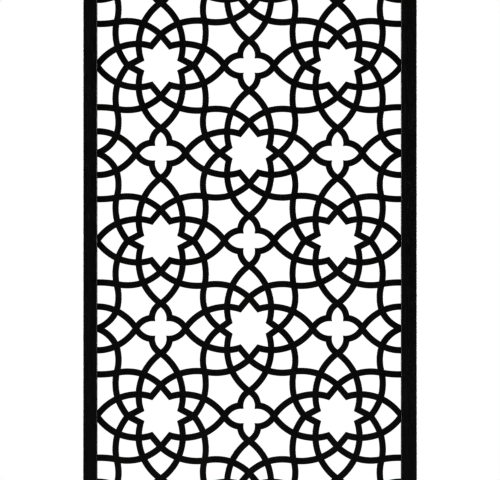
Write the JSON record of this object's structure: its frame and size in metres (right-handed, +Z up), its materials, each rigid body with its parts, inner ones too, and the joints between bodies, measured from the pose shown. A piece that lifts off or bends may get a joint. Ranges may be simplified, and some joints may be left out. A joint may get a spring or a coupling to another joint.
{
  "type": "mashrabiya screen",
  "caption": "Door-high black pierced wooden screen: curved crossing straps with eight-pointed stars and four-petalled openings, in a plain grooved frame.",
  "frame": {"origin": "middle of the flat underside of the bottom rail, half way through the frame's depth, at half of the overall width", "axes": "+Z up along the stiles, +X across the screen towards the wider stile, +Y from the front through the depth to the back"},
  "size_m": [1, 0.04, 2.04],
  "materials": {
    "black_frame": "solid timber, stained black and satin lacquered, with fine open grain along each member",
    "black_lattice": "wooden board, stained black and satin lacquered, with fine grain upright"
  },
  "bodies": {
    "root": {"stile_left": "black_frame", "stile_right": "black_frame", "rail_top": "black_frame", "rail_bottom": "black_frame", "lattice_panel": "black_lattice"}
  },
  "joints": []
}
